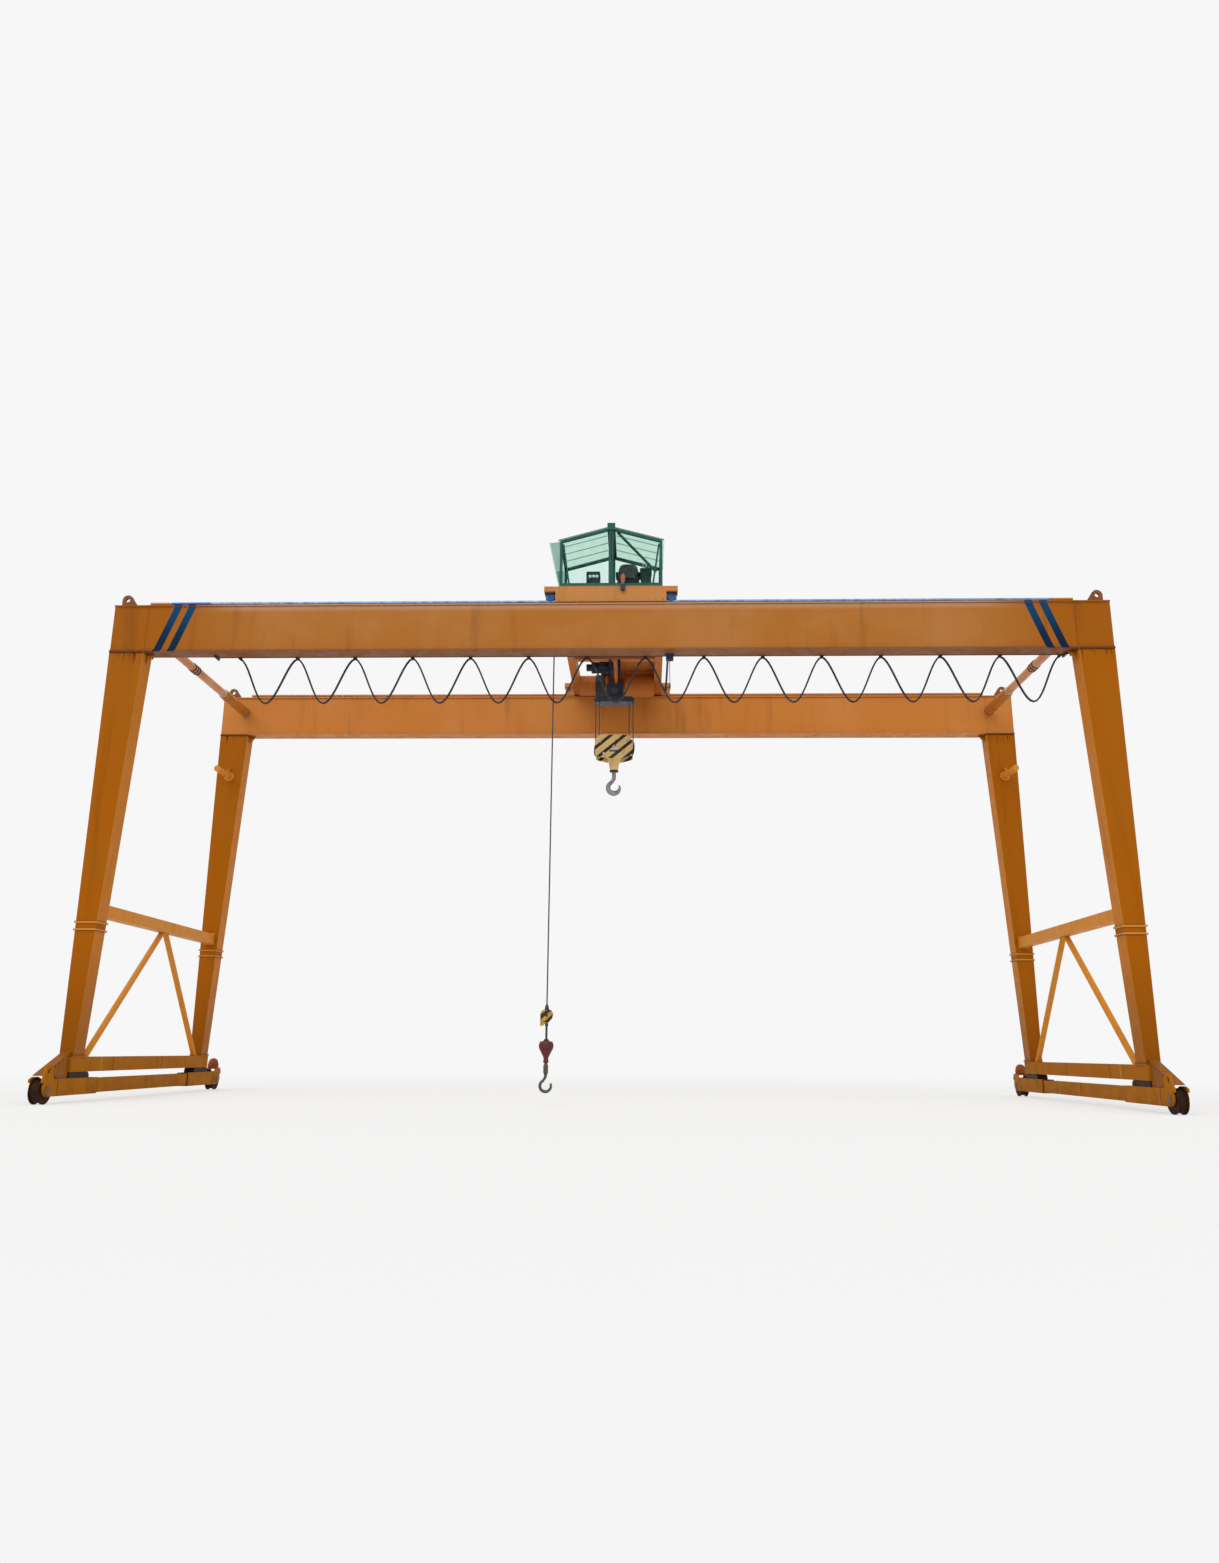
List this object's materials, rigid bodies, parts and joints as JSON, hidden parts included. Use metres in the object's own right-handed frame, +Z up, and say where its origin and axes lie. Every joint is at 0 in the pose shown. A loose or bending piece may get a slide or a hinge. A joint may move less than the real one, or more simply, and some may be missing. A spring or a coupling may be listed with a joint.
{
  "type": "gantry crane",
  "caption": "Orange double-girder gantry crane on tapered legs, with a cab trolley, a striped hook block on rope falls, an auxiliary hook and a looped festoon cable.",
  "frame": {"origin": "on the ground under the middle of the portal", "axes": "+X along the girders, +Y from the cab girder to the rear girder, +Z up"},
  "size_m": [20.05, 8.3598, 11.498],
  "materials": {
    "orange_paint": "satin weathered",
    "rail_steel": "worn",
    "dark_steel": "satin",
    "rubber": "matte",
    "green_paint": "satin",
    "green_glass": "clear",
    "rope": "greased",
    "yellow_paint": "satin",
    "red_paint": "satin"
  },
  "bodies": {
    "frame": {"front_girder": "orange_paint", "rear_girder": "orange_paint", "trolley_rails": "rail_steel", "front_left_leg": "orange_paint", "front_right_leg": "orange_paint", "rear_left_leg": "orange_paint", "rear_right_leg": "orange_paint", "leg_splices": "orange_paint", "leg_stubs": "orange_paint", "end_ties": "orange_paint", "leg_struts": "orange_paint", "leg_braces": "orange_paint", "sills": "orange_paint", "carriage_saddles": "dark_steel", "left_end_carriage": "orange_paint", "right_end_carriage": "orange_paint", "gear_covers": "orange_paint", "travel_motors": "orange_paint", "lifting_lugs": "orange_paint", "festoon_wire": "rail_steel", "festoon_hangers": "rubber", "festoon_cable": "rubber"},
    "trolley": {"trolley_trucks": "orange_paint", "deck_beams": "orange_paint", "deck_crossbeams": "orange_paint", "deck_plate": "orange_paint", "rope_drum": "dark_steel", "drum_cover": "orange_paint", "hoist_motor": "dark_steel", "hoist_hanger": "dark_steel", "crown_block": "dark_steel", "aux_hoist": "dark_steel", "cab_floor": "green_paint", "cab_frame": "green_paint", "cab_glazing": "green_glass", "cab_roof": "green_glass", "cab_vent": "green_glass", "cab_fittings": "green_paint", "main_ropes": "rope", "aux_rope": "rope"},
    "right_wheelset": {"drive_wheelset": "dark_steel"},
    "front_left_trolley_wheel": {"front_idler": "dark_steel"},
    "rear_left_trolley_wheel": {"rear_idler": "dark_steel"},
    "hook_block": {"main_block": "yellow_paint", "main_sheaves": "dark_steel"},
    "hook": {"main_hook": "dark_steel"},
    "weight": {"aux_weight": "red_paint", "aux_tag": "yellow_paint"},
    "small_hook": {"aux_hook": "dark_steel"},
    "travel_wheel_fl": {"front_left_wheel": "dark_steel"},
    "travel_wheel_fr": {"front_right_wheel": "dark_steel"},
    "travel_wheel_rl": {"rear_left_wheel": "dark_steel"},
    "travel_wheel_rr": {"rear_right_wheel": "dark_steel"}
  },
  "joints": [
    {"name": "trolley_travel", "type": "slide", "parent": "frame", "child": "trolley", "axis": [1, 0, 0], "range_m": [-7.5, 7.5]},
    {"name": "right_wheelset_spin", "type": "hinge", "parent": "trolley", "child": "right_wheelset", "pos_m": [1.334, 0, 9.9403], "axis": [0, 1, 0], "continuous": true},
    {"name": "front_left_trolley_wheel_spin", "type": "hinge", "parent": "trolley", "child": "front_left_trolley_wheel", "pos_m": [-1.124, -2.99, 9.9403], "axis": [0, 1, 0], "continuous": true},
    {"name": "rear_left_trolley_wheel_spin", "type": "hinge", "parent": "trolley", "child": "rear_left_trolley_wheel", "pos_m": [-1.124, 2.99, 9.9403], "axis": [0, 1, 0], "continuous": true},
    {"name": "main_hoist", "type": "slide", "parent": "trolley", "child": "hook_block", "axis": [0, 0, 1], "range_m": [-6.3, 0.4], "deforming": ["main_ropes"]},
    {"name": "main_hook_swivel", "type": "hinge", "parent": "hook_block", "child": "hook", "pos_m": [0.105, 0, 7.08], "axis": [0, 0, 1], "continuous": true},
    {"name": "aux_hoist_lift", "type": "slide", "parent": "trolley", "child": "weight", "axis": [0, 0, 1], "range_m": [0, 6.4], "deforming": ["aux_rope"]},
    {"name": "aux_hook_swivel", "type": "hinge", "parent": "weight", "child": "small_hook", "pos_m": [-1.07, -2.51, 0.8], "axis": [0, 0, 1], "continuous": true},
    {"name": "travel_wheel_fl_spin", "type": "hinge", "parent": "frame", "child": "travel_wheel_fl", "pos_m": [-9.865, -3.95, 0.23], "axis": [1, 0, 0], "continuous": true},
    {"name": "travel_wheel_fr_spin", "type": "hinge", "parent": "frame", "child": "travel_wheel_fr", "pos_m": [9.865, -3.95, 0.23], "axis": [1, 0, 0], "continuous": true},
    {"name": "travel_wheel_rl_spin", "type": "hinge", "parent": "frame", "child": "travel_wheel_rl", "pos_m": [-9.865, 3.95, 0.23], "axis": [1, 0, 0], "continuous": true},
    {"name": "travel_wheel_rr_spin", "type": "hinge", "parent": "frame", "child": "travel_wheel_rr", "pos_m": [9.865, 3.95, 0.23], "axis": [1, 0, 0], "continuous": true}
  ],
  "couplings": [
    {"joint": "right_wheelset_spin", "follows": "trolley_travel", "rad_per_m": 11.765},
    {"joint": "front_left_trolley_wheel_spin", "follows": "trolley_travel", "rad_per_m": 11.765},
    {"joint": "rear_left_trolley_wheel_spin", "follows": "trolley_travel", "rad_per_m": 11.765}
  ]
}
